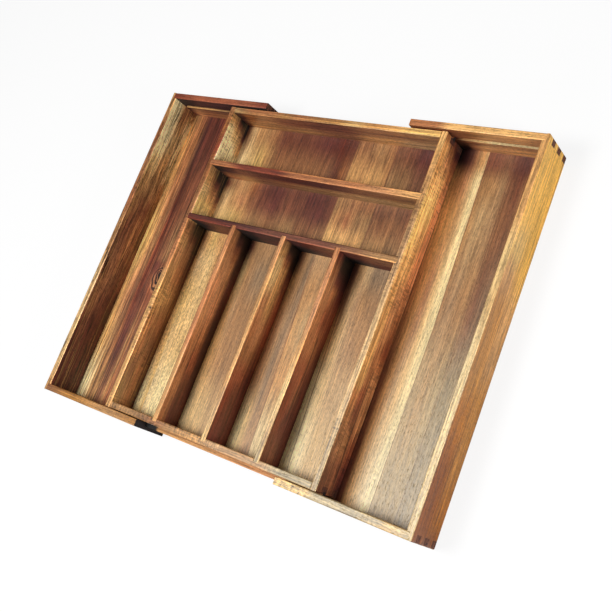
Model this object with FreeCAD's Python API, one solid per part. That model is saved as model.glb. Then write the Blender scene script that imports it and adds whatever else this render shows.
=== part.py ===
"""Expandable cutlery tray in solid acacia, in millimetres.

A centre tray with six pockets stands between two wings. Each wing is a side, two rails and a floor.
A runner strip on the front and the back of the centre tray slides in a groove in each wing rail,
so a wing pulls out sideways like a drawer, and its floor passes under the centre tray.

Axes: +X to the right, +Y to the back, +Z up. The origin is the middle of the footprint, on the
surface that the tray stands on, with the wings pulled out as in the photograph.
"""

import FreeCAD, Part
import math
import os

# Overall sizes
tray_depth = 440.0
wing_height = 56.0
centre_width = 327.0
centre_rim_drop = 4.0

# How far the wings stand out at rest, from the centre tray's side to the inside of the wing's side
left_opening = 101.0
right_opening = 112.0

# Boards
wing_wall = 8.5
centre_wall = 8.0
cross_divider_wall = 8.0
long_divider_wall = 7.3
wing_floor_thickness = 4.0
centre_floor_thickness = 4.0
edge_radius = 1.2
corner_radius = 1.5

# Joints between boards
wing_lip = 4.0
wing_finger_count = 6
centre_finger_count = 4
floor_housing = 4.0
divider_housing = 3.5
wing_floor_height = 3.5

# Runners and their grooves
runner_height = 5.4
runner_middle_height = 34.0
runner_housing = 3.0
groove_depth = 4.5
groove_play = 0.3
runner_tip_gap = 0.4
rail_gap = 1.0
floor_gap = 1.0
closing_gap = 0.5
meeting_gap = 3.0

# Pockets of the centre tray
rear_pocket_depth = 69.5
middle_pocket_depth = 69.5
long_pocket_count = 4

# Places worked out from the sizes above
total_width = left_opening + right_opening + centre_width + 2 * wing_wall
wing_left_x = -total_width / 2
wing_right_x = total_width / 2
wing_back_y = tray_depth / 2
rail_inner_y = wing_back_y - wing_wall
rail_length = wing_wall + closing_gap + centre_width / 2 - meeting_gap / 2

centre_left_x = wing_left_x + wing_wall + left_opening
centre_right_x = centre_left_x + centre_width
centre_back_y = rail_inner_y - rail_gap
centre_front_y = -centre_back_y
centre_bottom_z = wing_floor_height + wing_floor_thickness + floor_gap
centre_top_z = wing_height - centre_rim_drop
centre_floor_top_z = centre_bottom_z + centre_floor_thickness

pocket_left_x = centre_left_x + centre_wall
pocket_right_x = centre_right_x - centre_wall
pocket_back_y = centre_back_y - centre_wall
pocket_front_y = centre_front_y + centre_wall

rear_divider_y = pocket_back_y - rear_pocket_depth - cross_divider_wall
front_divider_y = rear_divider_y - middle_pocket_depth - cross_divider_wall
long_divider_count = long_pocket_count - 1
long_pocket_width = (
    pocket_right_x - pocket_left_x - long_divider_count * long_divider_wall
) / long_pocket_count

groove_bottom_z = runner_middle_height - runner_height / 2 - groove_play
groove_top_z = runner_middle_height + runner_height / 2 + groove_play
groove_back_y = rail_inner_y + groove_depth


def block(x_span, y_span, z_span):
    """A plain rectangular solid between two places on each axis."""
    low = FreeCAD.Vector(x_span[0], y_span[0], z_span[0])
    sizes = [span[1] - span[0] for span in (x_span, y_span, z_span)]
    return Part.makeBox(*sizes, low)


def board_section(width, height, place):
    """A face across a board that stands on edge: a flat foot and two eased top edges.

    place turns a point (across, up) of the section into a point in space.
    """
    radius = min(edge_radius, 0.4 * width)
    inset = radius * (1 - math.sqrt(0.5))
    foot_near, foot_far = place(0, 0), place(width, 0)
    side_far, top_far = place(width, height - radius), place(width - radius, height)
    top_near, side_near = place(radius, height), place(0, height - radius)
    far_bulge = place(width - inset, height - inset)
    near_bulge = place(inset, height - inset)
    edges = [
        Part.makeLine(foot_near, foot_far),
        Part.makeLine(foot_far, side_far),
        Part.Arc(side_far, far_bulge, top_far).toShape(),
        Part.makeLine(top_far, top_near),
        Part.Arc(top_near, near_bulge, side_near).toShape(),
        Part.makeLine(side_near, foot_near),
    ]
    return Part.Face(Part.Wire(edges))


def board_along_x(x_span, y_span, z_span):
    """A board on edge that runs left to right, with its top edges eased."""
    section = board_section(
        y_span[1] - y_span[0],
        z_span[1] - z_span[0],
        lambda across, up: FreeCAD.Vector(x_span[0], y_span[0] + across, z_span[0] + up),
    )
    return section.extrude(FreeCAD.Vector(x_span[1] - x_span[0], 0, 0))


def board_along_y(x_span, y_span, z_span):
    """A board on edge that runs front to back, with its top edges eased."""
    section = board_section(
        x_span[1] - x_span[0],
        z_span[1] - z_span[0],
        lambda across, up: FreeCAD.Vector(x_span[0] + across, y_span[0], z_span[0] + up),
    )
    return section.extrude(FreeCAD.Vector(0, y_span[1] - y_span[0], 0))


def finger_levels(bottom, top, count):
    """Heights of every second finger, counted down from the top: those of the boards that run left to right."""
    pitch = (top - bottom) / count
    return [(top - (n + 1) * pitch, top - n * pitch) for n in range(1, count, 2)]


def eased_outline(x_span, y_span, z_span, on_right=True):
    """The block that a box of boards fills, with its outer upright corners rounded.

    on_right says whether the corners on the right are rounded too.
    """
    solid = block(x_span, y_span, z_span)
    outer = [x_span[0], x_span[1]] if on_right else [x_span[0]]
    upright = [
        edge
        for edge in solid.Edges
        if abs(edge.tangentAt(edge.FirstParameter).z) > 0.99
        and any(abs(edge.CenterOfMass.x - x) < 0.01 for x in outer)
    ]
    return solid.makeFillet(corner_radius, upright)


# The wing. It is drawn with its side's outer face at X = 0 and its rails running to +X.

wing_z = (0, wing_height)
wing_outline = eased_outline(
    (0, rail_length), (-wing_back_y, wing_back_y), wing_z, on_right=False
)
wing_fingers = finger_levels(0, wing_height, wing_finger_count)


def rail_y(end):
    """The places of a rail's two faces. end is -1 for the front rail and 1 for the back rail."""
    return sorted((end * rail_inner_y, end * wing_back_y))


def wing_floor():
    """The floor, let into a groove in the side and in both rails. Its inner edge is free."""
    half_depth = rail_inner_y + floor_housing
    return block(
        (wing_wall - floor_housing, rail_length),
        (-half_depth, half_depth),
        (wing_floor_height, wing_floor_height + wing_floor_thickness),
    )


def wing_rail(end):
    """A rail: fingers at its outer end, a groove for the floor and the groove that the runner slides in."""
    rail = board_along_x((wing_lip, rail_length), rail_y(end), wing_z)
    fingers = [block((0, wing_lip), rail_y(end), level) for level in wing_fingers]
    rail = rail.fuse(fingers).removeSplitter()
    runner_groove = block(
        (wing_wall, rail_length),
        sorted((end * rail_inner_y, end * groove_back_y)),
        (groove_bottom_z, groove_top_z),
    )
    return rail.cut([runner_groove, wing_floor()]).common(wing_outline)


def wing_side():
    """The side: at each end a thin lip covers the rail's end, and is notched for the rail's fingers."""
    side = board_along_y((0, wing_wall), (-wing_back_y, wing_back_y), wing_z)
    for end in (-1, 1):
        rebate = block((wing_lip, wing_wall), rail_y(end), wing_z)
        notches = [block((0, wing_lip), rail_y(end), level) for level in wing_fingers]
        side = side.cut([rebate, *notches])
    return side.cut(wing_floor()).common(wing_outline)


def wing_pieces(name):
    """The four boards of one wing, by node name."""
    return {
        name + "_side": wing_side(),
        name + "_front_rail": wing_rail(-1),
        name + "_back_rail": wing_rail(1),
        name + "_floor": wing_floor(),
    }


def left_wing():
    """The wing as drawn, moved out to the left."""
    return {
        node: solid.translated(FreeCAD.Vector(wing_left_x, 0, 0))
        for node, solid in wing_pieces("left_wing").items()
    }


def right_wing():
    """The same wing, turned half round so that its side is on the right."""
    pieces = wing_pieces("right_wing")
    front, back = pieces["right_wing_front_rail"], pieces["right_wing_back_rail"]
    pieces["right_wing_front_rail"], pieces["right_wing_back_rail"] = back, front
    turned = {}
    for node, solid in pieces.items():
        moved = solid.copy()
        moved.rotate(FreeCAD.Vector(0, 0, 0), FreeCAD.Vector(0, 0, 1), 180)
        turned[node] = moved.translated(FreeCAD.Vector(wing_right_x, 0, 0))
    return turned


# The centre tray

centre_z = (centre_bottom_z, centre_top_z)
pocket_z = (centre_floor_top_z, centre_top_z)
centre_outline = eased_outline(
    (centre_left_x, centre_right_x), (centre_front_y, centre_back_y), centre_z
)
centre_fingers = finger_levels(centre_bottom_z, centre_top_z, centre_finger_count)


def end_wall_y(end):
    """The places of the two faces of the front wall (end -1) or the back wall (end 1)."""
    return sorted((end * pocket_back_y, end * centre_back_y))


def centre_floor():
    """The floor, flush with the foot of the walls and let into a rebate in all four."""
    return block(
        (pocket_left_x - floor_housing, pocket_right_x + floor_housing),
        (pocket_front_y - floor_housing, pocket_back_y + floor_housing),
        (centre_bottom_z, centre_floor_top_z),
    )


def runner(end):
    """A strip let into the outer face of the front wall (end -1) or the back wall (end 1)."""
    tip_y = groove_back_y - runner_tip_gap
    root_y = centre_back_y - runner_housing
    return block(
        (centre_left_x, centre_right_x),
        sorted((end * root_y, end * tip_y)),
        (runner_middle_height - runner_height / 2, runner_middle_height + runner_height / 2),
    )


def cross_divider(y):
    """A divider that runs left to right, let into both side walls. y is its front face."""
    return board_along_x(
        (pocket_left_x - divider_housing, pocket_right_x + divider_housing),
        (y, y + cross_divider_wall),
        pocket_z,
    )


def cross_divider_seats():
    """What the ends of the two cross dividers take out of the side walls."""
    x_span = (pocket_left_x - divider_housing, pocket_right_x + divider_housing)
    return [
        block(x_span, (y, y + cross_divider_wall), pocket_z)
        for y in (rear_divider_y, front_divider_y)
    ]


def long_divider_x(number):
    """The places of a long divider's two faces, counted from the left, from 0."""
    left = pocket_left_x + long_pocket_width + number * (long_pocket_width + long_divider_wall)
    return (left, left + long_divider_wall)


long_divider_y = (pocket_front_y - divider_housing, front_divider_y + divider_housing)


def long_divider(number):
    """A divider that runs front to back, let into the front wall and the front cross divider."""
    return board_along_y(long_divider_x(number), long_divider_y, pocket_z)


def long_divider_seats():
    """What the ends of the long dividers take out of the front wall and the front cross divider."""
    return [
        block(long_divider_x(number), long_divider_y, pocket_z)
        for number in range(long_divider_count)
    ]


def centre_side_wall(x_span):
    """A side wall: notched at both ends for the fingers of the front and back walls."""
    wall = board_along_y(x_span, (centre_front_y, centre_back_y), centre_z)
    for end in (-1, 1):
        notches = [block(x_span, end_wall_y(end), level) for level in centre_fingers]
        wall = wall.cut([*notches, runner(end)])
    return wall.cut([centre_floor(), *cross_divider_seats()]).common(centre_outline)


def centre_end_wall(end):
    """The front wall (end -1) or the back wall (end 1), with fingers through both side walls."""
    wall = board_along_x((pocket_left_x, pocket_right_x), end_wall_y(end), centre_z)
    x_span = (centre_left_x, centre_right_x)
    for side_span in ((x_span[0], pocket_left_x), (pocket_right_x, x_span[1])):
        wall = wall.fuse([block(side_span, end_wall_y(end), level) for level in centre_fingers])
    wall = wall.removeSplitter().cut([runner(end), centre_floor()])
    if end < 0:
        wall = wall.cut(long_divider_seats())
    return wall.common(centre_outline)


def centre_tray():
    """The boards of the centre tray, by node name."""
    pieces = {
        "centre_left_wall": centre_side_wall((centre_left_x, pocket_left_x)),
        "centre_right_wall": centre_side_wall((pocket_right_x, centre_right_x)),
        "centre_front_wall": centre_end_wall(-1),
        "centre_back_wall": centre_end_wall(1),
        "centre_floor": centre_floor(),
        "rear_cross_divider": cross_divider(rear_divider_y),
        "front_cross_divider": cross_divider(front_divider_y).cut(long_divider_seats()),
        "front_runner": runner(-1).common(runner_outline()),
        "back_runner": runner(1).common(runner_outline()),
    }
    for number in range(long_divider_count):
        pieces["long_divider_" + str(number + 1)] = long_divider(number)
    return pieces


def runner_outline():
    """The block that both runners fill, with its upright corners rounded so that a runner enters its groove."""
    reach = groove_back_y - runner_tip_gap
    return eased_outline((centre_left_x, centre_right_x), (-reach, reach), centre_z)


def main():
    os.makedirs("parts", exist_ok=True)
    pieces = {**centre_tray(), **left_wing(), **right_wing()}
    for node, shape in pieces.items():
        solids = shape.Solids
        if len(solids) != 1 or not shape.isValid():
            raise ValueError(node + " is not one valid solid")
        solids[0].exportStep("parts/" + node + ".step")
        print("%-24s %9.1f mm3" % (node, solids[0].Volume))
    print("total width", total_width, "rail length", rail_length)


main()
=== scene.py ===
# %% [markdown]
# This lesson dresses an expandable cutlery tray made of oiled acacia. The boards themselves come
# ready made, as a fixed frame, so no shape is drawn here except their softened edges. What is left
# to make is the wood: heartwood and pale sapwood side by side, ribbon figure, pores, end grain,
# knots and floors glued up from narrow staves.

# %% Load the tray
import math

import bpy
from mathutils import Matrix, Vector


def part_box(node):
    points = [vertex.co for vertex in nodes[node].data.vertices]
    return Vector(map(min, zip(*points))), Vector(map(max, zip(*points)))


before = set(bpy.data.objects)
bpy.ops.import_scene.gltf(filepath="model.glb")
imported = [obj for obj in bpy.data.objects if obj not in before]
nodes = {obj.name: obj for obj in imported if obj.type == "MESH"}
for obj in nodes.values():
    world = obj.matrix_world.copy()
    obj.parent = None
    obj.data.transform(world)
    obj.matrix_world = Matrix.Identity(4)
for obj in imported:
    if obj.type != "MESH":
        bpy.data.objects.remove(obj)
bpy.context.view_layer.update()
print("boards in the tray:", len(nodes))

# %% [markdown]
# The boards are measured in millimetres on the bench and in metres here. One small helper turns
# one into the other, and the places that several steps need are read from the boards themselves.

# %% Measures
MM = 0.001


def mm(*values):
    """A place or a size in metres, from millimetres."""
    return Vector([value * MM for value in values])


def reach(node, axis):
    """How far a board reaches along one axis, in millimetres."""
    low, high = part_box(node)
    return low["xyz".index(axis)] / MM, high["xyz".index(axis)] / MM


tray_left, tray_right = reach("left_wing_side", "x")[0], reach("right_wing_side", "x")[1]
tray_front, tray_back = reach("left_wing_side", "y")
print("the tray spans", round(tray_right - tray_left), "by", round(tray_back - tray_front), "mm")

# %% [markdown]
# A product photographer hangs the camera over the right end of the tray and rolls it well over, so
# that the long pockets run up the picture. A camera in Blender looks along its own -Z, so it is
# first turned towards an aim point and then rolled about that line. A small lens shift puts the
# tray where it sits in the picture without tilting the camera.

# %% Camera
CAMERA_PLACE = mm(692, -198, 938)
CAMERA_AIM = mm(-30.4, 51.2, 30)
CAMERA_ROLL = math.radians(53.4)
LENS = 56.9
LENS_SHIFT = (0.047, -0.109)

camera_data = bpy.data.cameras.new("camera")
camera_data.lens = LENS
camera_data.sensor_width = 36
camera_data.shift_x, camera_data.shift_y = LENS_SHIFT
camera = bpy.data.objects.new("camera", camera_data)
bpy.context.scene.collection.objects.link(camera)
look = (CAMERA_AIM - CAMERA_PLACE).to_track_quat("-Z", "Y").to_matrix().to_4x4()
camera.matrix_world = Matrix.Translation(CAMERA_PLACE) @ look @ Matrix.Rotation(-CAMERA_ROLL, 4, "Z")
bpy.context.scene.camera = camera
print("the camera stands", round((CAMERA_AIM - CAMERA_PLACE).length, 2), "m from the tray")

# %% [markdown]
# Wood is read from colour and from sheen. The main light is a soft box up on the left and in front:
# it throws the shadows of the walls into the pockets, to the right of each divider. A weaker box
# low on the right lights the outer faces there, and a faint one in front keeps the front walls from
# going flat. Area lamps are used because a wide lamp gives soft-edged shadows.

# %% Lamps
bpy.context.scene.view_settings.view_transform = "Standard"


def soft_box(name, place, aim, size, watts, colour=(1, 1, 1)):
    """A square lamp of a given size in millimetres, turned towards a point."""
    lamp = bpy.data.lights.new(name, "AREA")
    lamp.shape = "SQUARE"
    lamp.size = size * MM
    lamp.energy = watts
    lamp.color = colour
    box = bpy.data.objects.new(name, lamp)
    box.rotation_euler = (mm(*aim) - mm(*place)).to_track_quat("-Z", "Y").to_euler()
    box.location = mm(*place)
    bpy.context.scene.collection.objects.link(box)
    return box


soft_box("key_box", (-380, -350, 1500), (20, -20, 0), 600, 21)
soft_box("fill_box", (1400, -150, 540), (0, 0, 30), 500, 11)
soft_box("front_box", (0, -1400, 700), (0, 0, 30), 700, 3.5)

# %% [markdown]
# Materials are node graphs. Drawing one by hand means many links, so a small class wraps a socket
# and lets a graph be written as sums: `mask * 0.5 + 1`. Colours and vectors can't go through Math
# nodes, which would turn them grey, so they have methods of their own.

# %% Shader sums
class Graph:
    """The node graph of one material."""

    def __init__(self, tree):
        self.tree = tree
        self.tree.nodes.clear()

    def add(self, kind, settings=None, **sockets):
        """A node by type: settings first, or a ramp's stops, then the values or links of its sockets."""
        node = self.tree.nodes.new(kind)
        for name, value in (settings or {}).items():
            if name == "stops":
                self.set_stops(node.color_ramp, value)
            elif name == "smooth":
                node.color_ramp.interpolation = value
            else:
                setattr(node, name, value)
        for name, value in sockets.items():
            self.feed(self.socket(node, name), value)
        return node

    def set_stops(self, band, stops):
        """Puts the stops on a ramp, which comes with two of its own."""
        while len(band.elements) < len(stops):
            band.elements.new(0.5)
        for element, (at, colour) in zip(band.elements, stops):
            element.position = at
            element.color = (*colour, 1)

    def socket(self, node, name):
        """A node's input by its number, as in i0, or by its name with _ for each space."""
        if name[0] == "i" and name[1:].isdigit():
            return node.inputs[int(name[1:])]
        return node.inputs[name.replace("_", " ")]

    def feed(self, target, value):
        """Links a wire to an input, or writes a plain value on it."""
        if isinstance(value, Wire):
            self.tree.links.new(value.out, target)
        else:
            target.default_value = value

    def wire(self, node, name=0):
        """One of a node's outputs, ready for sums."""
        return Wire(self, node.outputs[name])

    def vector(self, x, y, z):
        """Three numbers or wires as one vector."""
        return self.wire(self.add("ShaderNodeCombineXYZ", i0=x, i1=y, i2=z))

    def ramp(self, stops, place, smooth="EASE"):
        """A colour that changes along a number from 0 to 1. stops is a list of (place, colour)."""
        return self.wire(self.add("ShaderNodeValToRGB", {"smooth": smooth, "stops": stops}, i0=place))


class Wire:
    """An output socket that can be used in sums."""

    def __init__(self, graph, out):
        self.graph = graph
        self.out = out

    def math(self, operation, *others):
        sockets = {"i%d" % n: value for n, value in enumerate((self, *others))}
        return self.graph.wire(self.graph.add("ShaderNodeMath", {"operation": operation}, **sockets))

    def __add__(self, other):
        return self.math("ADD", other)

    def __sub__(self, other):
        return self.math("SUBTRACT", other)

    def __mul__(self, other):
        return self.math("MULTIPLY", other)

    def __rsub__(self, other):
        return (self * -1) + other

    __radd__ = __add__
    __rmul__ = __mul__

    def clear_of(self, low, high):
        """0 below low and 1 above high, with a soft step between."""
        node = self.graph.add(
            "ShaderNodeMapRange", {"interpolation_type": "SMOOTHSTEP"}, i0=self, i1=low, i2=high
        )
        return self.graph.wire(node)

    def mixed(self, other, share, blend="MIX"):
        """This colour with a share of another one."""
        settings = {"data_type": "RGBA", "blend_type": blend}
        node = self.graph.add("ShaderNodeMix", settings, i0=share, i6=self, i7=other)
        return self.graph.wire(node, 2)

    def stretched(self, *factors):
        """This vector with each part multiplied."""
        settings = {"operation": "MULTIPLY"}
        return self.graph.wire(self.graph.add("ShaderNodeVectorMath", settings, i0=self, i1=factors))

    def moved(self, other):
        """This vector with another one added."""
        settings = {"operation": "ADD"}
        return self.graph.wire(self.graph.add("ShaderNodeVectorMath", settings, i0=self, i1=other))

    def parts(self):
        """The three numbers in this vector."""
        node = self.graph.add("ShaderNodeSeparateXYZ", i0=self)
        return [self.graph.wire(node, n) for n in range(3)]


print("shader sums ready:", [name for name in vars(Wire) if not name.startswith("_")])

# %% [markdown]
# The maker's wood box. Acacia runs from cream sapwood through honey and tan to a heartwood that is
# nearly purple. Each tone is mixed as it looks on an oiled board in plain light, in the 0 to
# 255 values of a paint program, and turned into the linear values that shaders work in.

# %% Tones
TONES = {
    "ivory": (255, 236, 178),
    "bone": (250, 228, 166),
    "cream": (234, 206, 150),
    "oat": (196, 170, 122),
    "ash": (174, 154, 116),
    "straw": (224, 186, 124),
    "butter": (255, 212, 130),
    "apricot": (246, 190, 118),
    "honey": (220, 164, 100),
    "mustard": (208, 168, 98),
    "gold": (220, 168, 74),
    "wheat": (204, 166, 114),
    "caramel": (204, 152, 92),
    "biscuit": (188, 146, 100),
    "copper": (198, 138, 90),
    "coral": (246, 164, 108),
    "terracotta": (218, 148, 98),
    "tan": (184, 136, 84),
    "clay": (184, 120, 74),
    "fawn": (168, 124, 78),
    "driftwood": (150, 120, 86),
    "ginger": (172, 110, 68),
    "hazel": (156, 104, 64),
    "brick": (150, 82, 52),
    "nutmeg": (172, 118, 54),
    "cinnamon": (160, 98, 26),
    "russet": (146, 88, 48),
    "bark": (140, 92, 60),
    "umber": (128, 68, 8),
    "redwood": (128, 58, 36),
    "chestnut": (130, 76, 50),
    "walnut": (112, 62, 42),
    "wine": (104, 50, 40),
    "oxblood": (94, 36, 18),
    "mahogany": (92, 44, 32),
    "plum": (68, 32, 30),
    # ink and soot, the darkest two, also serve as painted shade in the pockets' corners and dark gaps.
    "ink": (34, 16, 14),
    "soot": (9, 7, 7),
}


def linear(tone):
    """A tone of the wood box in linear light."""
    shares = [value / 255 for value in TONES[tone]]
    return tuple(v / 12.92 if v <= 0.04045 else ((v + 0.055) / 1.055) ** 2.4 for v in shares)


print("tones in the wood box:", len(TONES))

# %% [markdown]
# Tones are laid out along a board like chalk marks on a ruler: a list of places in millimetres,
# each with the tone found there. A Color Ramp node holds such a list. Its places run from 0 to 1,
# so the board's coordinate is first mapped to that span. Two marks side by side make a hard step,
# which is what a glue line looks like.

# %% Chalk marks
def chalked(graph, coordinate, marks, smooth="EASE"):
    """The colour along a coordinate in millimetres, from a list of (place, tone)."""
    low, high = marks[0][0], marks[-1][0]
    place = (coordinate - low) * (1 / (high - low))
    stops = [((at - low) / (high - low), linear(tone)) for at, tone in marks]
    return graph.ramp(stops, place, smooth)


print("a ramp holds up to 32 marks")

# %% [markdown]
# Wood grain is long in one direction and fine in the others, so it can be made from noise that is
# squeezed across the board and stretched along it. The layers are dark growth streaks, pale
# streaks, fine fibres, the ribbon figure that runs across the grain and shimmers in patches, and
# pores, short dark dashes that also dent the surface. All are read from the board's own
# coordinates, so the grain runs through the board from face to face as it does in real timber.

# %% Grain
class Grain:
    """The layers of grain in one board. along is the axis that the fibres follow."""

    def __init__(self, graph, along, seed, point=None):
        self.graph = graph
        texture = graph.add("ShaderNodeTexCoord")
        self.point = graph.wire(texture, "Object").stretched(1000, 1000, 1000)
        self.normal = graph.wire(texture, "Normal")
        self.along = "xyz".index(along)
        shift = (seed * 173.0, seed * 91.0, seed * 57.0)
        self.shifted = (point or self.point).moved(shift)

    def noise(self, across, along, detail=4, rough=0.55, twist=0.0, apart=0.0):
        """Noise from 0 to 1 with a feature size in millimetres across and along the fibres."""
        factors = [1 / across] * 3
        factors[self.along] = 1 / along
        node = self.graph.add(
            "ShaderNodeTexNoise",
            Vector=self.shifted.stretched(*factors).moved((apart, apart, apart)),
            Scale=1.0,
            Detail=float(detail),
            Roughness=rough,
            Distortion=twist,
        )
        return self.graph.wire(node)

    def faces_along(self):
        """1 where a face looks along the fibres, which is where end grain shows."""
        part = self.normal.parts()[self.along]
        return part.math("ABSOLUTE").clear_of(0.55, 0.85)

    def faces_up(self):
        """1 on the top edge of a board."""
        return self.normal.parts()[2].clear_of(0.3, 0.75)


print("grain layers: dark streaks, pale streaks, fibres, ribbon, pores")

# %% [markdown]
# One recipe oils every board. It lifts the board's tone a little, because the streaks will take
# light away again, then darkens and lightens it along the streaks, frets it with fibres, mottle and
# ribbon, opens the pores and swaps in end grain where a face looks along the fibres. The pale
# streaks can glint in a tone of their own, such as yellow sapwood in brown heartwood. Last comes a
# thin rubbed coat of oil, which is a low Coat Weight over a satin surface. End grain drinks the
# oil and stays dull, so it gets no coat.

# %% Oiled acacia
def oiled(
    name, graph, grain, tone, end_tone,
    streak=0.5, gleam=0.35, ribbon=0.2, ribbon_size=3.0, speckle=0.35, coarse=1.0, mottle=0.8, fret=1.0,
    rough=0.42, coat=0.22, glint=None,
):
    """Finishes a board whose tone is already a colour in the graph."""
    growth = grain.noise(4.0 * coarse, 240, detail=3, rough=0.6, twist=0.4).clear_of(0.48, 0.58)
    hairline = grain.noise(1.7 * coarse, 130, detail=1).clear_of(0.53, 0.64)
    pale = grain.noise(2.4 * coarse, 280, detail=2, twist=0.3, apart=37.0).clear_of(0.52, 0.64)
    thread = grain.noise(2.6, 80, detail=1, apart=23.0)
    fibre = grain.noise(1.3, 26, detail=1)
    nap = grain.noise(1.3, 3.6, detail=1, apart=5.0)
    wave = grain.noise(9, ribbon_size, detail=2, rough=0.5, twist=0.6)
    patch = grain.noise(34, 60, detail=1, apart=11.0).clear_of(0.38, 0.62)
    pore = grain.noise(0.75, 4.5, detail=2, rough=0.6).clear_of(0.56, 0.66)

    lift = 1 + 0.24 * streak
    tone = tone.mixed((lift, lift, lift, 1), 1.0, "MULTIPLY")
    darker = tone.mixed((0.48, 0.38, 0.33, 1), 1.0, "MULTIPLY")
    lighter = tone.mixed((1.55, 1.45, 1.18, 1), 1.0, "MULTIPLY")
    if glint:
        lighter = lighter.mixed((*linear(glint), 1), 0.55)
    colour = tone.mixed(darker, growth * streak)
    colour = colour.mixed(lighter, pale * gleam)
    colour = colour.mixed(darker, hairline * (streak * 0.6))
    lines = ((fibre - 0.5) * 1.5 + (thread - 0.5) * 0.9) * fret
    brightness = 1 + lines + (nap - 0.5) * mottle + (wave - 0.5) * patch * (ribbon * 3)
    colour = colour.mixed(graph.vector(brightness, brightness, brightness), 1.0, "MULTIPLY")
    colour = colour.mixed((*linear("ink"), 1), pore * speckle)

    rings = grain.noise(2.6, 2.6, detail=4, rough=0.7)
    cut_end = graph.ramp([(0.3, linear("ink")), (0.75, linear(end_tone))], rings)
    ends = grain.faces_along()
    colour = colour.mixed(cut_end, ends)

    height = fibre * 0.5 + pore * -0.8 + hairline * -0.3
    bump = graph.add("ShaderNodeBump", Strength=0.22, Distance=0.0004, Height=height)
    shader = graph.add(
        "ShaderNodeBsdfPrincipled",
        Base_Color=colour,
        Roughness=rough + pore * 0.25 + (fibre - 0.5) * 0.12 + ends * 0.35,
        Coat_Weight=(coat + pore * -0.15) * (1 - ends),
        Coat_Roughness=0.32,
        Normal=graph.wire(bump),
    )
    graph.add("ShaderNodeOutputMaterial", Surface=graph.wire(shader))


def dress(node, material):
    """Gives a board its material, in place of the plain one that it came with."""
    nodes[node].data.materials.clear()
    nodes[node].data.materials.append(material)


def new_graph(name):
    """A named material and its empty graph."""
    material = bpy.data.materials.new(name)
    material.use_nodes = True
    return material, Graph(material.node_tree)


print("the oil leaves a coat of 0.22")

# %% [markdown]
# An upright board shows its narrow top edge and its broad faces, which cut the growth rings at
# different angles and so have different tones. The faces are also painted darker from top to foot
# and nearly black in the corners of the pockets, and this darkening is painted shade. Each board is
# therefore chalked three or four times along its length: on the top edge, on the upper part of its
# faces, half way down on boards where the painted shade of a corner climbs higher, and along the
# foot. The face at the back, which carries no painted shade, takes the tone of the top edge, a
# little darker. The marks wander a little, and on a figured board they curl as well. A vein is one
# dark line that runs along a face at some height, where a growth ring comes to the surface. A ledge
# is the lower lip of a rail's groove; its tones are a painted highlight where the lip catches the
# light, and painted shade where it lies in a dark gap. Flame makes the streaks swing up and down, as
# they do where the trunk grew in waves. The two numbers of arris paint a highlight (above 1) or a
# shade line (below 1) along the two long corners of the top edge.

# %% Upright boards
def upright(
    node, along, seed, top, upper, foot, middle=None,
    end="walnut", turn=(0.25, 0.65), curl=0, flame=0, vein=None, ledge=None, arris=(1.1, 1.1), **finish,
):
    """An upright board with tones chalked along its top edge, its upper face and its foot."""
    material, graph = new_graph("acacia_" + node)
    grain = Grain(graph, along, seed)
    if flame:
        swing = (grain.noise(13, 26, detail=2, rough=0.45, twist=0.8) - 0.5) * flame
        grain = Grain(graph, along, seed, grain.point.moved(graph.vector(0.0, 0.0, swing)))
    wander = grain.noise(18, 110, detail=3) - 0.5
    ruler = grain.point.parts()["xyz".index(along)] + wander * 30
    if curl:
        ruler = ruler + (grain.noise(6, 15, detail=4, twist=2.2) - 0.5) * curl
    low, high = reach(node, "z")
    level = grain.point.parts()[2] + wander * 9
    share = (level - low) * (1 / (high - low))
    # The face tones are wood tone with painted shade in them: darker towards the foot, nearly black in the pockets'
    # corners.
    face = chalked(graph, ruler, foot)
    if middle:
        face = face.mixed(chalked(graph, ruler, middle), share.clear_of(0.2, 0.45))
        turn = (0.55, 0.8)
    face = face.mixed(chalked(graph, ruler, upper), share.clear_of(*turn))
    if vein:
        line = (level - vein[0]).math("ABSOLUTE")
        window = ruler.clear_of(vein[1], vein[1] + 20) * (1 - ruler.clear_of(vein[2] - 20, vein[2]))
        face = face.mixed((*linear("ink"), 1), (1 - line.clear_of(0.3, 1.7)) * window * 0.75)
    edge = chalked(graph, ruler, top)
    # Ledge tones: a painted highlight on a lit lip, painted shade where the lip lies in a dark gap.
    if ledge:
        edge = edge.mixed(chalked(graph, ruler, ledge), 1 - share.clear_of(0.8, 0.9))
    # The face that looks away from the pockets gets no painted shade: the top edge's tone, a little darker.
    looks = grain.normal.parts()
    turned = looks[1] if along == "x" else looks[0] * -1
    reverse = chalked(graph, ruler, top).mixed((0.8, 0.76, 0.72, 1), 1.0, "MULTIPLY")
    face = face.mixed(reverse, turned.clear_of(0.3, 0.75))
    tone = face.mixed(edge, grain.faces_up())
    # A painted highlight or painted shade line along each long corner of the top edge, as arris asks.
    near, far = reach(node, "y" if along == "x" else "x")
    side = grain.point.parts()[1 if along == "x" else 0]
    painted_edge_light_and_shade = 1 + (1 - (side - near).clear_of(0.6, 2.0)) * (arris[0] - 1)
    painted_edge_light_and_shade = painted_edge_light_and_shade + (1 - (far - side).clear_of(0.6, 2.0)) * (arris[1] - 1)
    brink = (grain.point.parts()[2] - high).clear_of(-1.2, -0.4)
    painted_edge_light_and_shade = 1 + (painted_edge_light_and_shade - 1) * brink
    tone = tone.mixed(graph.vector(painted_edge_light_and_shade, painted_edge_light_and_shade, painted_edge_light_and_shade), 1.0, "MULTIPLY")
    oiled(node, graph, grain, tone, end, coarse=1.5, **finish)
    dress(node, material)
    print("oiled", node)
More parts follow.
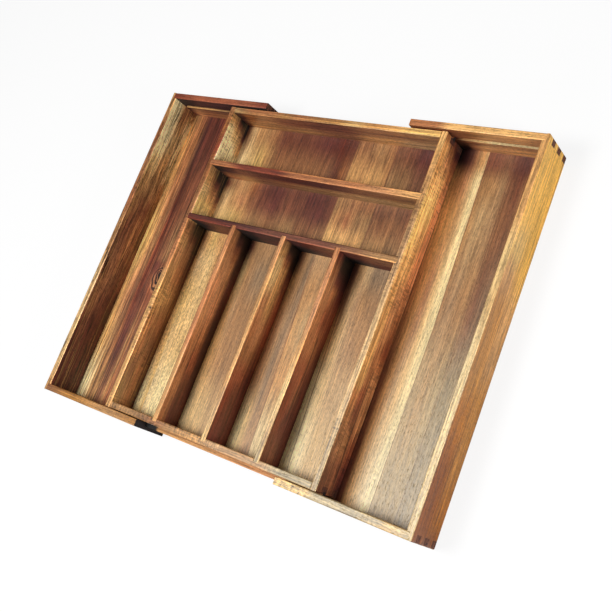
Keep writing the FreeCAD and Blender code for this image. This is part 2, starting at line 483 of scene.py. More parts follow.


# %% [markdown]
# The left wing's side shows a board in which yellow sapwood at the back turns to purple heartwood
# at the front, with a curl of figure where they meet. Its rails are painted darker inside than on
# top, as painted shade, and the lip under the back rail's groove is painted paler, as a painted
# highlight. The front rail's end grain is painted black, as painted shade of the deep gap beside
# the centre tray.

# %% Left wing walls
upright(
    "left_wing_side", "y", 1,
    top=[(-220, "tan"), (-165, "wheat"), (-92, "wheat"), (-55, "wheat"), (-18, "tan"), (18, "fawn"), (55, "ginger"),
         (92, "hazel"), (135, "bark"), (165, "russet"), (202, "tan")],
    upper=[(-220, "mahogany"), (-158, "mahogany"), (-123, "walnut"), (-88, "hazel"), (-53, "hazel"), (-18, "bark"),
           (18, "chestnut"), (53, "hazel"), (88, "tan"), (118, "straw"), (140, "bone"), (158, "ivory"), (205, "ivory")],
    middle=[(-220, "mahogany"), (-123, "mahogany"), (-88, "walnut"), (-53, "bark"), (-18, "ginger"), (18, "ginger"),
            (53, "chestnut"), (88, "fawn"), (123, "caramel"), (165, "straw"), (182, "tan"), (195, "hazel"), (211, "bark")],
    foot=[(-220, "wine"), (-88, "mahogany"), (-53, "chestnut"), (-18, "chestnut"), (18, "walnut"), (53, "hazel"),
          (88, "copper"), (118, "bone"), (150, "ivory"), (185, "ivory"), (200, "straw"), (211, "bark")],
    streak=0.55, gleam=0.5, curl=40, flame=5, speckle=0.7, fret=2.0, glint="mustard", arris=(1.2, 1.7),
)
upright(
    "left_wing_front_rail", "x", 2,
    top=[(-278, "bark"), (-227, "nutmeg"), (-159, "tan"), (-108, "nutmeg")],
    upper=[(-278, "tan"), (-108, "nutmeg")],
    foot=[(-278, "hazel"), (-108, "bark")],
    end="soot", ribbon=0.4,
)
upright(
    "left_wing_back_rail", "x", 3,
    top=[(-278, "redwood"), (-227, "brick"), (-140, "brick"), (-108, "redwood")],
    upper=[(-278, "ink"), (-256, "ink"), (-229, "plum"), (-190, "plum"), (-148, "ink"), (-108, "soot")],
    foot=[(-278, "ink"), (-268, "walnut"), (-256, "copper"), (-238, "ginger"), (-205, "hazel"), (-108, "walnut")],
    end="chestnut", ledge=[(-278, "caramel"), (-229, "caramel"), (-195, "fawn"), (-108, "hazel")],
    rough=0.65, coat=0.08,
)

# %% [markdown]
# The right wing's side is the palest board on the tray: gold at the back, browner and redder at
# the front, with a creamy top edge. The dark squares near its ends are the end grain of the rails.
# The back rail is painted nearly black at its left end, inside and on its groove's lip, as painted
# shade in the gap beside the centre tray; further right the lip is painted pale, as a painted
# highlight.

# %% Right wing walls
upright(
    "right_wing_side", "y", 4,
    top=[(-220, "oat"), (-150, "cream"), (-27, "cream"), (27, "straw"), (82, "straw"), (137, "honey"), (220, "honey")],
    upper=[(-220, "umber"), (-150, "umber"), (-88, "cinnamon"), (-50, "nutmeg"), (20, "nutmeg"), (60, "tan"), (95, "mustard"),
           (140, "gold"), (220, "gold")],
    foot=[(-220, "umber"), (-190, "cinnamon"), (-130, "nutmeg"), (-70, "nutmeg"), (-27, "tan"), (27, "caramel"), (82, "gold"),
          (220, "gold")],
    end="chestnut", streak=0.4, speckle=0.35,
)
upright(
    "right_wing_front_rail", "x", 5,
    top=[(108, "straw"), (145, "straw"), (156, "ash"), (204, "ash"), (218, "oat"), (236, "oat"), (246, "straw"), (278, "oat")],
    upper=[(108, "wheat"), (278, "tan")],
    foot=[(108, "tan"), (278, "tan")],
    end="chestnut", ribbon=0.9, ribbon_size=4.0, streak=0.2,
)
upright(
    "right_wing_back_rail", "x", 6,
    top=[(108, "ginger"), (141, "ginger"), (164, "apricot"), (240, "apricot"), (278, "honey")],
    upper=[(108, "walnut"), (158, "walnut"), (176, "bark"), (200, "fawn"), (228, "tan"), (278, "fawn")],
    foot=[(108, "soot"), (158, "soot"), (168, "ink"), (177, "bark"), (188, "tan"), (228, "caramel"), (278, "caramel")],
    end="chestnut",
    ledge=[(108, "soot"), (158, "mahogany"), (170, "fawn"), (190, "straw"), (208, "bone"), (220, "ivory"), (278, "ivory")],
)

# %% [markdown]
# The centre tray's four walls. The left one has a rippled top edge, golden in front and brown at the
# back. Where it bounds the two cross pockets its face is painted pale, as painted light where the
# lamps bring too little, and it is painted nearly black in the back corner of each pocket, as
# painted shade. The right one carries the strongest ribbon and a long dark vein; it is red along
# the foot, and the foot is painted darker towards both ends, as painted shade. The front wall is
# pale and rippled. The back wall is painted darker at its left end, in the rear pocket's corner,
# as painted shade.

# %% Centre walls
upright(
    "centre_left_wall", "y", 7,
    top=[(-210, "caramel"), (-52, "caramel"), (-35, "tan"), (-17, "clay"), (17, "ginger"), (52, "ginger"), (78, "hazel"),
         (131, "russet"), (150, "redwood"), (180, "russet"), (210, "bark")],
    upper=[(-210, "fawn"), (-187, "fawn"), (-156, "bark"), (-125, "clay"), (-94, "clay"), (-62, "caramel"), (-31, "tan"),
           (0, "copper"), (18, "tan"), (31, "hazel"), (46, "bark"), (52, "butter"), (74, "butter"), (90, "straw"),
           (106, "caramel"), (118, "fawn"), (128, "hazel"), (132, "ivory"), (158, "ivory"), (176, "bone"), (190, "honey"),
           (204, "tan")],
    middle=[(-210, "hazel"), (-187, "ginger"), (-156, "ginger"), (-125, "bark"), (-94, "ginger"), (-62, "tan"), (-31, "clay"),
            (0, "hazel"), (14, "bark"), (26, "mahogany"), (36, "ink"), (48, "soot"), (54, "ivory"), (74, "butter"),
            (86, "honey"), (98, "hazel"), (108, "mahogany"), (117, "soot"), (128, "soot"), (133, "ivory"), (158, "ivory"),
            (172, "straw"), (183, "tan"), (191, "walnut"), (199, "soot")],
    foot=[(-210, "mahogany"), (-170, "mahogany"), (-125, "mahogany"), (-94, "mahogany"), (-70, "bark"), (-52, "bark"),
          (-30, "walnut"), (0, "plum"), (14, "ink"), (28, "soot"), (42, "soot"), (50, "soot"), (54, "straw"),
          (68, "honey"), (80, "hazel"), (90, "walnut"), (98, "ink"), (106, "soot"), (129, "soot"), (133, "bone"),
          (150, "bone"), (164, "honey"), (176, "hazel"), (184, "plum"), (192, "soot"), (205, "soot")],
    ribbon=0.8, ribbon_size=2.2, speckle=0.4, streak=0.25, gleam=0.4, fret=1.3, glint="mustard", arris=(0.8, 2.0),
)
upright(
    "centre_right_wall", "y", 8,
    top=[(-210, "oat"), (-80, "wheat"), (-20, "wheat"), (40, "biscuit"), (90, "biscuit"), (122, "tan"), (160, "tan"),
         (178, "caramel"), (195, "apricot"), (210, "apricot")],
    upper=[(-210, "walnut"), (-192, "walnut"), (-157, "bark"), (-122, "hazel"), (-102, "clay"), (-87, "caramel"),
           (-52, "caramel"), (17, "honey"), (52, "apricot"), (80, "butter"), (128, "butter"), (150, "apricot"),
           (170, "honey"), (195, "honey"), (207, "hazel")],
    middle=[(-210, "chestnut"), (-180, "chestnut"), (-157, "hazel"), (-122, "walnut"), (-100, "brick"), (-87, "ginger"),
            (-52, "clay"), (-17, "copper"), (17, "copper"), (45, "honey"), (87, "apricot"), (122, "butter"),
            (157, "apricot"), (178, "copper"), (192, "hazel"), (204, "walnut")],
    foot=[(-210, "plum"), (-185, "wine"), (-157, "brick"), (-125, "copper"), (-87, "copper"), (-66, "ginger"),
          (-50, "brick"), (-17, "ginger"), (17, "terracotta"), (48, "coral"), (70, "coral"), (87, "terracotta"),
          (122, "coral"), (150, "terracotta"), (168, "clay"), (184, "chestnut"), (195, "plum"), (210, "ink")],
    ribbon=0.7, ribbon_size=2.6, streak=0.6, vein=(24, -205, -60), fret=1.3,
    arris=(1.2, 1.3),
)
upright(
    "centre_front_wall", "x", 9,
    top=[(-169, "fawn"), (-119, "fawn"), (-87, "hazel"), (-54, "tan"), (-21, "caramel"), (10, "biscuit"), (76, "biscuit"),
         (108, "ash"), (158, "ash")],
    upper=[(-169, "fawn"), (158, "tan")],
    foot=[(-169, "hazel"), (158, "fawn")],
    ribbon=1.0, ribbon_size=2.4, streak=0.35,
)
upright(
    "centre_back_wall", "x", 10,
    top=[(-169, "caramel"), (-155, "wheat"), (-128, "copper"), (-101, "copper"), (-74, "tan"), (-46, "copper"),
         (-19, "tan"), (8, "caramel"), (35, "straw"), (63, "honey"), (90, "apricot"), (117, "butter"), (158, "butter")],
    upper=[(-164, "soot"), (-156, "plum"), (-141, "russet"), (-114, "hazel"), (-83, "chestnut"), (-52, "chestnut"),
           (-21, "walnut"), (10, "walnut"), (41, "bark"), (72, "bark"), (104, "hazel"), (135, "fawn"), (158, "fawn")],
    foot=[(-164, "ink"), (-156, "walnut"), (-146, "tan"), (-114, "tan"), (-83, "tan"), (-52, "tan"), (-21, "hazel"),
          (10, "bark"), (41, "tan"), (72, "caramel"), (104, "wheat"), (158, "wheat")],
    streak=0.8, gleam=0.5, arris=(0.8, 1.6),
)

# %% [markdown]
# The five dividers were cut from redder stock. The middle long divider is the golden one. Their
# faces are painted darker towards the foot and nearly black in the back corner of each pocket, as
# painted shade.

# %% Dividers
upright(
    "rear_cross_divider", "x", 11,
    top=[(-165, "ginger"), (-141, "ginger"), (-108, "redwood"), (-60, "redwood"), (-24, "ginger"), (13, "clay"), (60, "clay"),
         (95, "copper"), (154, "honey")],
    upper=[(-165, "soot"), (-150, "ink"), (-138, "plum"), (-114, "walnut"), (-83, "mahogany"), (-52, "oxblood"),
           (-21, "oxblood"), (10, "mahogany"), (41, "walnut"), (72, "bark"), (104, "hazel"), (154, "fawn")],
    foot=[(-165, "soot"), (-158, "walnut"), (-148, "ginger"), (-114, "tan"), (-83, "bark"), (-52, "hazel"),
          (-21, "fawn"), (10, "fawn"), (41, "biscuit"), (72, "wheat"), (104, "wheat"), (154, "straw")],
    streak=0.6, gleam=0.5, rough=0.6, coat=0.1, arris=(1.2, 1.2),
)
upright(
    "front_cross_divider", "x", 12,
    top=[(-165, "oxblood"), (-100, "oxblood"), (-60, "mahogany"), (-20, "walnut"), (52, "walnut"), (90, "bark"),
         (130, "fawn"), (154, "fawn")],
    upper=[(-165, "soot"), (-154, "soot"), (-140, "plum"), (-122, "walnut"), (-96, "mahogany"), (-84, "ink"),
           (-66, "ink"), (-50, "plum"), (-20, "plum"), (-6, "plum"), (8, "plum"), (33, "oxblood"), (52, "walnut"),
           (66, "bark"), (76, "mahogany"), (92, "mahogany"), (111, "chestnut"), (137, "bark"), (154, "bark")],
    foot=[(-165, "soot"), (-152, "soot"), (-140, "plum"), (-122, "walnut"), (-96, "mahogany"), (-84, "soot"),
          (-64, "soot"), (-48, "plum"), (-22, "oxblood"), (-12, "plum"), (-4, "soot"), (14, "soot"), (28, "plum"),
          (40, "mahogany"), (56, "walnut"), (68, "chestnut"), (76, "soot"), (92, "soot"), (106, "plum"),
          (120, "oxblood"), (154, "mahogany")],
    streak=0.7, gleam=0.5, rough=0.65, coat=0.06, arris=(1.9, 0.6),
)
upright(
    "long_divider_1", "y", 13,
    top=[(-206, "caramel"), (-177, "tan"), (-127, "tan"), (-94, "clay"), (-27, "clay"), (5, "copper"), (51, "ginger")],
    upper=[(-206, "ginger"), (-187, "ginger"), (-156, "clay"), (-125, "ginger"), (-94, "clay"), (-62, "copper"),
           (-31, "terracotta"), (5, "copper"), (24, "clay"), (40, "hazel"), (51, "chestnut")],
    middle=[(-206, "wine"), (-187, "wine"), (-156, "walnut"), (-125, "brick"), (-94, "clay"), (-62, "terracotta"),
            (-31, "copper"), (0, "copper"), (14, "ginger"), (24, "chestnut"), (34, "plum"), (46, "soot")],
    foot=[(-206, "mahogany"), (-177, "wine"), (-127, "plum"), (-77, "plum"), (-50, "mahogany"), (-27, "wine"), (10, "plum"),
          (24, "ink"), (38, "soot"), (51, "soot")],
    streak=0.35, arris=(0.6, 1.7),
)
upright(
    "long_divider_2", "y", 14,
    top=[(-206, "straw"), (-177, "wheat"), (-127, "caramel"), (-77, "caramel"), (-27, "caramel"), (51, "copper")],
    upper=[(-206, "wine"), (-150, "redwood"), (-125, "brick"), (-94, "hazel"), (-62, "clay"), (-31, "copper"),
           (0, "straw"), (18, "straw"), (30, "caramel"), (42, "fawn"), (51, "chestnut")],
    middle=[(-206, "wine"), (-150, "walnut"), (-125, "brick"), (-94, "hazel"), (-62, "copper"), (-31, "caramel"),
            (0, "honey"), (14, "caramel"), (24, "ginger"), (32, "walnut"), (42, "ink"), (51, "soot")],
    foot=[(-206, "wine"), (-127, "wine"), (-94, "chestnut"), (-62, "brick"), (-31, "brick"), (0, "chestnut"),
          (12, "mahogany"), (22, "ink"), (34, "soot"), (51, "soot")],
    streak=0.5, gleam=0.5, arris=(0.7, 1.8),
)
upright(
    "long_divider_3", "y", 15,
    top=[(-206, "oat"), (-177, "wheat"), (-127, "straw"), (-77, "caramel"), (-27, "copper"), (51, "clay")],
    upper=[(-206, "walnut"), (-127, "redwood"), (-94, "brick"), (-62, "ginger"), (-31, "clay"), (5, "copper"),
           (22, "ginger"), (34, "chestnut"), (43, "wine"), (51, "plum")],
    middle=[(-206, "chestnut"), (-156, "wine"), (-125, "chestnut"), (-94, "brick"), (-62, "ginger"), (-31, "brick"),
            (0, "ginger"), (12, "wine"), (22, "plum"), (28, "ink"), (40, "soot"), (51, "soot")],
    foot=[(-206, "wine"), (-127, "wine"), (-77, "walnut"), (-50, "brick"), (-24, "brick"), (0, "wine"),
          (12, "plum"), (22, "ink"), (34, "soot"), (51, "soot")],
    streak=0.6, vein=(30, -170, -40), arris=(0.7, 1.4),
)

# %% [markdown]
# The runners are plain strips under the centre tray, in the warm tan of its front wall. Their left
# ends and their end grain are painted black, as painted shade: it stands for the deep shade of the
# gap beside the end of the left wing's rail.

# %% Runners
for seed, node in enumerate(("front_runner", "back_runner"), start=16):
    upright(
        node, "x", seed,
        top=[(-169, "soot"), (-91, "soot"), (-86, "tan"), (158, "copper")],
        upper=[(-169, "soot"), (-91, "soot"), (-86, "tan"), (158, "copper")],
        foot=[(-169, "soot"), (-91, "soot"), (-86, "hazel"), (158, "tan")],
        end="soot", rough=0.8, coat=0.0, gleam=0.0,
    )

# %% [markdown]
# A floor is a panel glued up from staves that run front to back. It is chalked across, in several
# rows from front to back, because a stave's tone drifts along its length, and because the rows also
# carry painted light and painted shade, which change from front to back. Its grain has to stop
# dead at each glue line, so a stepped ramp gives every stave a number of its own, and that number
# pushes the stave's grain to another place in the noise. Another stepped ramp draws the hair-thin
# dark line of the glue. In the cross pockets the floor is darkened with purple clouds. One stave
# can be figured, which means mottled and rippled all over.

# %% Floors of glued staves
def stepped(graph, place, low, high, steps):
    """A number that jumps at each place across. steps is a list of (place, number)."""
    stops = [((at - low) / (high - low), (number,) * 3) for at, number in steps]
    return graph.ramp(stops, (place - low) * (1 / (high - low)), "CONSTANT")


def panel(
    node, seed, rows, glue, lean_front=None, lean_back=None, clouds=None, knot=None, figured=None, **finish,
):
    """A floor of staves. rows is a list of (place front to back, marks across)."""
    material, graph = new_graph("acacia_" + node)
    texture = graph.add("ShaderNodeTexCoord")
    point = graph.wire(texture, "Object").stretched(1000, 1000, 1000)
    across, along, _ = point.parts()
    if lean_front:
        across = across + (along - lean_front[0]).math("MINIMUM", 0.0) * lean_front[1]
    if lean_back:
        across = across + (along - lean_back[0]).math("MAXIMUM", 0.0) * lean_back[1]
    tone = chalked(graph, across, rows[0][1], "LINEAR")
    for (before, _), (place, marks) in zip(rows, rows[1:]):
        tone = tone.mixed(chalked(graph, across, marks, "LINEAR"), along.clear_of(before, place))
    low, high = reach(node, "x")
    lots = [(low, 0.0)] + [(at, ((n + 1) * 0.37) % 1) for n, at in enumerate(glue)]
    jump = stepped(graph, across, low, high, lots).stretched(260, 900, 120)
    grain = Grain(graph, "y", seed, point.moved(jump))
    if clouds:
        purple = tone.mixed((0.50, 0.34, 0.36, 1), 1.0, "MULTIPLY")
        cloud = grain.noise(13, 34, detail=2, rough=0.5, twist=0.3).clear_of(0.50, 0.68)
        tone = tone.mixed(purple, cloud * along.clear_of(*clouds) * 0.4)
        finish["fret"] = along.clear_of(*clouds) * 0.2 + 0.75
    if knot:
        tone = knotted(graph, grain, tone, *knot)
    if figured:
        stave = (1 - across.clear_of(figured[0] - 3, figured[0])) * (1 - along.clear_of(figured[1] - 3, figured[1]))
        finish["mottle"] = stave * 0.9 + 0.8
        finish["ribbon"] = stave * 0.25 + 0.05
    lines = [(low, 0.0)]
    for at in glue:
        lines += [(at - 0.3, 1.0), (at + 0.3, 0.0)]
    seam = stepped(graph, across, low, high, lines).parts()[0]
    tone = tone.mixed((*linear("walnut"), 1), seam * 0.6)
    oiled(node, graph, grain, tone, "chestnut", **finish)
    dress(node, material)
    print("glued up", node, "from", len(glue) + 1, "staves")


# %% [markdown]
# A knot is where a branch once left the trunk: rings round a dark heart, longer along the grain than
# across it. The distance from its middle is measured in a stretched space that leans, so that the
# rings lie closer together behind the heart. A little noise makes the distance uneven, and its sine
# draws the rings, which drift and fade outwards.

# %% A knot
def knotted(graph, grain, tone, x, y, wide, long, shadow):
    """A tone with a knot at (x, y) in it, and the dark shadow of another one nearby."""
    def distance(x, y, wide, long):
        away = grain.point.moved((-x, -y, 0)).stretched(1 / wide, 1 / long, 0)
        length = graph.add("ShaderNodeVectorMath", {"operation": "LENGTH"}, i0=away)
        lean = away.parts()[1] * 0.45 - away.parts()[0] * 0.3
        return graph.wire(length, "Value") + lean + (grain.noise(15, 22, detail=2) - 0.5) * 0.6

    far = distance(x, y, wide, long)
    inside = 1 - far.clear_of(0.8, 1.1)
    drift = (grain.noise(5, 9, detail=2, apart=3.0) - 0.5) * 5
    rings = (far * 19 + drift).math("SINE").clear_of(-0.5, 0.45) * (1.3 - far * 0.5)
    halo = 1 - far.clear_of(0.9, 1.7)
    tone = tone.mixed((*linear("brick"), 1), halo * 0.7)
    tone = tone.mixed((*linear("copper"), 1), inside * 0.5)
    tone = tone.mixed((*linear("ink"), 1), inside * rings)
    tone = tone.mixed((*linear("soot"), 1), 1 - far.clear_of(0.15, 0.36))
    return tone.mixed((*linear("wine"), 1), (1 - distance(*shadow).clear_of(0.2, 1.2)) * 0.8)


print("a knot can be set into any stave")

# %% [markdown]
# The left wing's floor is honey along the wall, painted paler there as painted light, where the
# wall's shadow falls; then it is brown and nearly purple towards the centre tray, with one knot half
# hidden by the tray's wall. Its back corner by the wall is painted darker, as painted shade.

# %% Left wing floor
panel(
    "left_wing_floor", 21,
    rows=[
        (-195, [(-274, "ivory"), (-265, "ivory"), (-256, "cream"), (-251.1, "straw"), (-250.9, "tan"), (-242, "tan"),
                (-237, "fawn"), (-232, "bark"), (-227, "bark"), (-224.1, "hazel"), (-223.9, "caramel"), (-218, "ginger"),
                (-208, "walnut"), (-190, "chestnut"), (-160.1, "chestnut"), (-159.9, "fawn"), (-130.1, "tan"),
                (-129.9, "bark"), (-105, "hazel")]),
        (-125, [(-274, "butter"), (-265, "apricot"), (-256, "caramel"), (-251.1, "tan"), (-250.9, "fawn"),
                (-243, "hazel"), (-237, "chestnut"), (-232, "wine"), (-227, "walnut"), (-224.1, "chestnut"),
                (-223.9, "fawn"), (-218, "hazel"), (-208, "walnut"), (-190, "walnut"), (-160.1, "chestnut"),
                (-159.9, "fawn"), (-130.1, "tan"), (-129.9, "bark"), (-105, "hazel")]),
        (-60, [(-274, "apricot"), (-265, "honey"), (-256, "copper"), (-251.1, "clay"), (-250.9, "bark"),
               (-245, "bark"), (-239, "redwood"), (-231, "walnut"), (-224.1, "walnut"), (-223.9, "chestnut"),
               (-210, "chestnut"), (-190, "chestnut"), (-160.1, "chestnut"), (-159.9, "fawn"), (-130.1, "tan"),
               (-129.9, "bark"), (-105, "hazel")]),
        (20, [(-274, "butter"), (-265, "butter"), (-256, "honey"), (-251.1, "copper"), (-250.9, "fawn"),
              (-245, "hazel"), (-239, "redwood"), (-231, "chestnut"), (-224.1, "bark"), (-223.9, "bark"),
              (-210, "fawn"), (-190, "chestnut"), (-160.1, "chestnut"), (-159.9, "fawn"), (-130.1, "tan"),
              (-129.9, "bark"), (-105, "hazel")]),
        (85, [(-274, "honey"), (-265, "apricot"), (-256, "copper"), (-251.1, "ginger"), (-250.9, "hazel"), (-245, "bark"),
              (-239, "oxblood"), (-231, "walnut"), (-224.1, "chestnut"), (-223.9, "chestnut"), (-210, "chestnut"),
              (-190, "walnut"), (-160.1, "chestnut"), (-159.9, "fawn"), (-130.1, "tan"), (-129.9, "bark"),
              (-105, "hazel")]),
        (170, [(-274, "honey"), (-268, "honey"), (-256, "clay"), (-251.1, "hazel"), (-250.9, "hazel"), (-245, "bark"),
               (-240, "plum"), (-234, "wine"), (-224.1, "mahogany"), (-223.9, "mahogany"), (-214, "mahogany"),
               (-206, "chestnut"), (-190, "walnut"), (-160.1, "chestnut"), (-159.9, "fawn"), (-130.1, "tan"),
               (-129.9, "bark"), (-105, "hazel")]),
        (206, [(-274, "walnut"), (-268, "fawn"), (-256, "hazel"), (-251.1, "bark"), (-250.9, "bark"), (-245, "chestnut"),
               (-240, "plum"), (-234, "mahogany"), (-224.1, "mahogany"), (-223.9, "mahogany"), (-214, "wine"),
               (-206, "chestnut"), (-190, "walnut"), (-160.1, "chestnut"), (-159.9, "fawn"), (-130.1, "tan"),
               (-129.9, "bark"), (-105, "hazel")]),
    ],
    glue=[-251, -224, -160, -130],
    knot=(-214, -24, 13.5, 17, (-226, -12, 8, 11)),
    streak=0.75, gleam=0.6, ribbon=0.05, fret=1.4,
)

# %% [markdown]
# The centre floor is seen through six pockets. Its glue lines lean slightly, as hand-laid staves do.
# Its rows are painted paler along the left edge of each pocket at the front, as painted light where
# the walls' shadows fall, nearly black in the back-left corner of each pocket, as painted shade, and
# darker along the back of each cross pocket, as a painted reflection of the dark wall behind.

# %% Centre floor
panel(
    "centre_floor", 22,
    rows=[
        (-180, [(-172, "ivory"), (-167, "bone"), (-158.1, "mustard"), (-157.9, "cream"), (-143, "bone"), (-101, "bone"),
                (-93, "bone"), (-88, "cream"), (-80, "straw"), (-68, "straw"), (-56, "wheat"), (-20, "wheat"),
                (-13, "ivory"), (-5, "bone"), (3, "straw"), (10, "biscuit"), (19.2, "biscuit"), (19.4, "cream"),
                (59, "cream"), (67, "ivory"), (84, "ivory"), (90, "cream"), (99, "straw"), (114, "straw"),
                (134, "oat"), (152, "oat")]),
        (-108, [(-169, "apricot"), (-164, "apricot"), (-158.1, "mustard"), (-157.9, "straw"), (-96, "mustard"),
                (-89, "apricot"), (-85, "apricot"), (-77, "caramel"), (-69, "tan"), (-61, "fawn"), (-17, "fawn"),
                (-9, "copper"), (-5, "copper"), (2, "tan"), (10, "driftwood"), (19.2, "tan"), (19.4, "caramel"),
                (34, "honey"), (62, "honey"), (70, "bone"), (81, "cream"), (89, "straw"), (97, "wheat"),
                (113, "wheat"), (142, "oat"), (152, "oat")]),
        (-46, [(-166, "apricot"), (-158.1, "mustard"), (-157.9, "mustard"), (-137, "straw"), (-93, "mustard"),
               (-86, "honey"), (-82, "honey"), (-74, "biscuit"), (-66, "fawn"), (-14, "fawn"), (-6, "copper"),
               (-2, "copper"), (5, "biscuit"), (13, "driftwood"), (19.2, "biscuit"), (19.4, "caramel"), (37, "wheat"),
               (65, "honey"), (73, "caramel"), (77, "honey"), (84, "straw"), (92, "wheat"), (100, "biscuit"),
               (116, "tan"), (152, "fawn")]),
        (3, [(-165, "honey"), (-158.1, "honey"), (-157.9, "wheat"), (-134, "straw"), (-126, "caramel"), (-91, "caramel"),
             (-83, "biscuit"), (-79, "straw"), (-71, "tan"), (-55, "driftwood"), (-11, "driftwood"), (-4, "tan"),
             (1, "tan"), (8, "fawn"), (16, "driftwood"), (19.2, "driftwood"), (19.4, "tan"), (32, "tan"), (68, "fawn"),
             (76, "bark"), (80, "bark"), (87, "wheat"), (95, "biscuit"), (103, "tan"), (119, "fawn"),
             (152, "driftwood")]),
        (40, [(-165, "walnut"), (-159, "hazel"), (-152, "caramel"), (-141, "mustard"), (-133, "caramel"), (-90, "biscuit"),
              (-82, "ink"), (-77, "walnut"), (-70, "fawn"), (-60, "fawn"), (-11, "driftwood"), (-3, "ink"),
              (3, "bark"), (9, "fawn"), (19.2, "driftwood"), (19.4, "biscuit"), (34, "biscuit"), (70, "tan"),
              (76, "ink"), (82, "walnut"), (89, "tan"), (98, "wheat"), (106, "driftwood"), (152, "driftwood")]),
        (68, [(-166, "cream"), (-153, "straw"), (-125, "mustard"), (-111, "tan"), (-97, "fawn"), (-69, "hazel"),
              (-54, "fawn"), (-30, "fawn"), (-23.6, "hazel"), (-23.4, "hazel"), (1, "hazel"), (19.2, "fawn"),
              (19.4, "apricot"), (43, "apricot"), (58, "honey"), (76.9, "honey"), (77.1, "tan"), (100, "tan"),
              (114, "fawn"), (154, "bark")]),
        (98, [(-166, "tan"), (-152, "wheat"), (-139, "tan"), (-125, "copper"), (-111, "hazel"), (-97, "chestnut"), (-69, "wine"),
              (-54, "chestnut"), (-23.6, "walnut"), (-23.4, "walnut"), (1, "wine"), (19.2, "chestnut"), (19.4, "tan"),
              (43, "clay"), (58, "fawn"), (76.9, "fawn"), (77.1, "hazel"), (114, "hazel"), (154, "bark")]),
        (118, [(-166, "soot"), (-157, "walnut"), (-146, "fawn"), (-125, "fawn"), (-111, "russet"), (-97, "walnut"), (-83, "mahogany"),
               (-69, "wine"), (-54, "walnut"), (-23.6, "walnut"), (-23.4, "wine"), (1, "mahogany"), (19.2, "walnut"),
               (19.4, "fawn"), (58, "hazel"), (76.9, "hazel"), (77.1, "bark"), (114, "bark"), (154, "chestnut")]),
        (150, [(-166, "cream"), (-153, "cream"), (-139, "straw"), (-125, "mustard"), (-105, "tan"), (-97, "hazel"),
               (-83, "hazel"), (-23.6, "hazel"), (-23.4, "hazel"), (-8, "bark"), (1, "walnut"), (10, "russet"),
               (19.2, "hazel"), (19.4, "honey"), (58, "honey"), (76.9, "caramel"), (77.1, "fawn"), (100, "fawn"),
               (114, "bark"), (154, "walnut")]),
        (192, [(-166, "soot"), (-158, "bark"), (-148, "wheat"), (-139, "tan"), (-125, "fawn"), (-108, "hazel"), (-97, "walnut"),
               (-54, "walnut"), (-23.6, "wine"), (-23.4, "wine"), (1, "oxblood"), (19.2, "walnut"), (19.4, "hazel"),
               (58, "fawn"), (76.9, "hazel"), (77.1, "bark"), (100, "chestnut"), (114, "wine"), (154, "wine")]),
    ],
    glue=[-158, -104, -23.5, 19.3, 77],
    lean_front=(46, 0.05),
    clouds=(50, 60),
    figured=(-90, 48), streak=0.2, gleam=0.18, ribbon=0.06, speckle=0.35,
)

# %% [markdown]
# The right wing's floor has the palest stave of all, with a crisp glue line on its right. Along its
# left edge, beside the centre tray's wall, it is painted with a soft dark shadow of that wall, nearly
# black in the back corner. The staves beyond it are greyer.

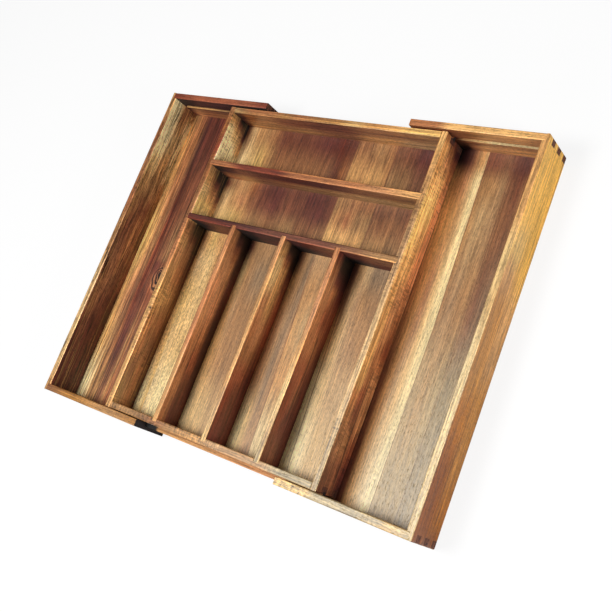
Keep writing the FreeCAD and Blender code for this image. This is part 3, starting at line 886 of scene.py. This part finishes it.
# %% Right wing floor
panel(
    "right_wing_floor", 23,
    rows=[
        (-180, [(106, "tan"), (158, "mahogany"), (163, "chestnut"), (169, "apricot"), (178, "straw"), (186, "cream"),
                (193, "ivory"), (198.9, "ivory"), (199.1, "oat"), (226, "oat"), (236, "ash"), (258, "ash"), (274, "oat")]),
        (-80, [(106, "tan"), (158, "walnut"), (163, "bark"), (169, "honey"), (178, "wheat"), (186, "straw"),
               (193, "bone"), (198.9, "bone"), (199.1, "oat"), (212, "wheat"), (226, "oat"), (236, "ash"),
               (258, "ash"), (274, "biscuit")]),
        (30, [(106, "tan"), (150, "tan"), (160, "clay"), (169, "honey"), (178, "copper"), (186, "straw"),
              (193, "bone"), (198.9, "bone"), (199.1, "fawn"), (211, "biscuit"), (219, "tan"), (226, "tan"),
              (236, "bark"), (250, "driftwood"), (274, "tan")]),
        (130, [(106, "tan"), (150, "tan"), (159, "tan"), (168, "apricot"), (180, "caramel"), (188, "wheat"),
               (194, "bone"), (198.9, "cream"), (199.1, "tan"), (211, "wheat"), (226, "biscuit"), (235, "hazel"),
               (246, "bark"), (256, "fawn"), (274, "hazel")]),
        (170, [(106, "tan"), (158, "fawn"), (166, "tan"), (180, "copper"), (188, "wheat"),
               (194, "bone"), (198.9, "cream"), (199.1, "fawn"), (211, "tan"), (226, "biscuit"), (235, "bark"),
               (246, "chestnut"), (256, "fawn"), (274, "hazel")]),
        (198, [(106, "soot"), (165, "soot"), (173, "plum"), (180, "walnut"), (185, "hazel"), (190, "tan"),
               (194, "caramel"), (198.9, "wheat"), (199.1, "chestnut"), (211, "chestnut"), (226, "bark"), (235, "walnut"),
               (246, "mahogany"), (256, "walnut"), (274, "bark")]),
    ],
    glue=[159, 199, 231],
    lean_back=(0, 0.03),
    streak=0.18, gleam=0.15, ribbon=0.05, speckle=0.35, fret=0.75,
)

# %% [markdown]
# Real boards have no razor edges: they are sanded before the oil goes on. A Bevel modifier softens
# every sharp edge by half a millimetre. The boards arrive as loose triangles, so a Weld modifier
# joins their corners first, or the bevel would find no edges to work on.

# %% Sanded edges
for board in nodes.values():
    weld = board.modifiers.new("weld", "WELD")
    weld.merge_threshold = 0.00001
    sanded = board.modifiers.new("sanded_edges", "BEVEL")
    sanded.width = 0.0005
    sanded.segments = 2
    sanded.limit_method = "ANGLE"
    sanded.angle_limit = math.radians(40)
    sanded.harden_normals = True
print("sanded the edges of", len(nodes), "boards")

# %% [markdown]
# The tray stands on a pale studio table against white. The table is a large sheet that shows white
# to the camera but still takes the tray's soft shadow: half of it is painted white light that only
# the camera sees, and half is a plain matt surface.

# %% Studio table and surround
bpy.ops.mesh.primitive_plane_add(size=14, location=mm(0, 0, 0))
table = bpy.context.object
table.name = "studio_table"
table_paint, graph = new_graph("studio_white")
seen = graph.add("ShaderNodeLightPath")
to_camera = graph.wire(seen, "Is Camera Ray")
matt = graph.add("ShaderNodeBsdfDiffuse", Color=(0.8, 0.8, 0.8, 1))
white = graph.add("ShaderNodeEmission", Color=(1, 1, 1, 1), Strength=1.05)
both = graph.add("ShaderNodeMixShader", i0=to_camera * 0.82, i1=graph.wire(matt), i2=graph.wire(white))
graph.add("ShaderNodeOutputMaterial", Surface=graph.wire(both))
table.data.materials.append(table_paint)

world = bpy.data.worlds.new("studio")
bpy.context.scene.world = world
world.use_nodes = True
sky = Graph(world.node_tree)
path = sky.add("ShaderNodeLightPath")
strength = 0.04 + sky.wire(path, "Is Camera Ray") * 0.96
background = sky.add("ShaderNodeBackground", Color=(1, 1, 1, 1), Strength=strength)
sky.add("ShaderNodeOutputWorld", Surface=sky.wire(background))
print("the surround lights the tray at 0.04 of white")

# %% [markdown]
